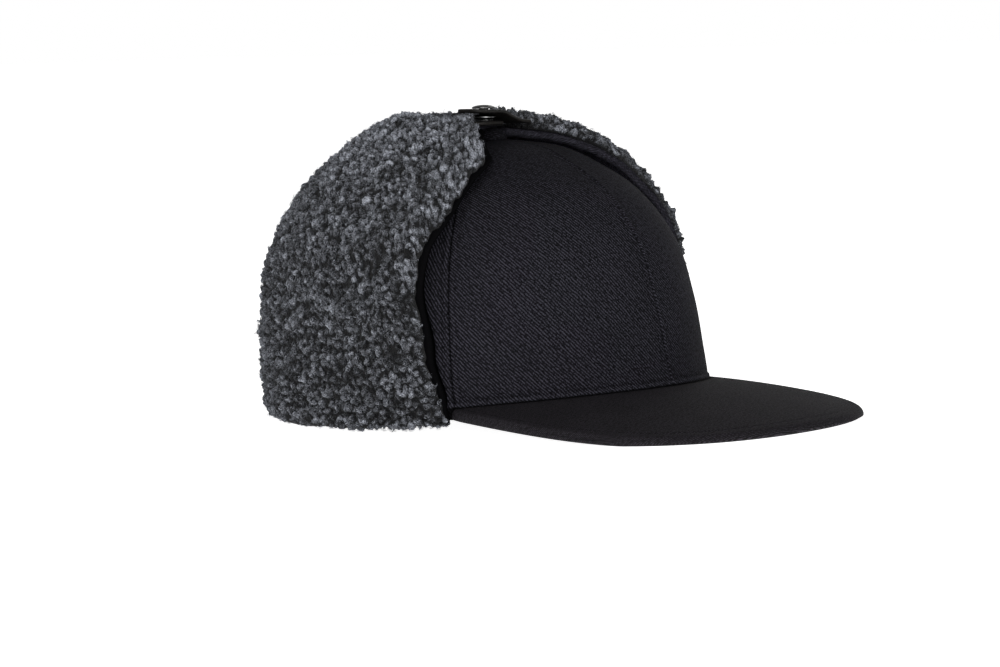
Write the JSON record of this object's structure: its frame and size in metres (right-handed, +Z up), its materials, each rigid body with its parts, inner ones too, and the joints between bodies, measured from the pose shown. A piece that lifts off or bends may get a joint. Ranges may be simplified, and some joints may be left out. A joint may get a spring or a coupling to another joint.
{
  "type": "earflap cap",
  "caption": "Six-panel twill cap with a stiff curved peak and fleece earflaps turned up over the crown and held by two leather tabs with a press stud.",
  "frame": {"origin": "middle of the outer box in plan, on the surface that the cap rests on", "axes": "-Y the way the peak points, +Z up, +X the wearer's left"},
  "size_m": [0.1948, 0.2756, 0.1339],
  "materials": {
    "twill": "matt wool twill, black",
    "flap_cloth": "matt cloth, black",
    "fleece": "curly sherpa fleece, charcoal grey",
    "leather": "smooth black leather with a slight sheen",
    "stud_metal": "dark polished press stud"
  },
  "bodies": {
    "root": {"crown_panel_front_right": "twill", "crown_panel_front_left": "twill", "crown_panel_side_right": "twill", "crown_panel_side_left": "twill", "crown_panel_back_right": "twill", "crown_panel_back_left": "twill", "crown_button": "twill", "peak": "twill", "flap_backing_right": "flap_cloth", "flap_backing_left": "flap_cloth", "flap_fleece_right": "fleece", "flap_fleece_left": "fleece", "strap_lower": "leather", "strap_upper": "leather", "snap_cap": "stud_metal", "snap_socket": "stud_metal", "snap_stud": "stud_metal"}
  },
  "joints": []
}
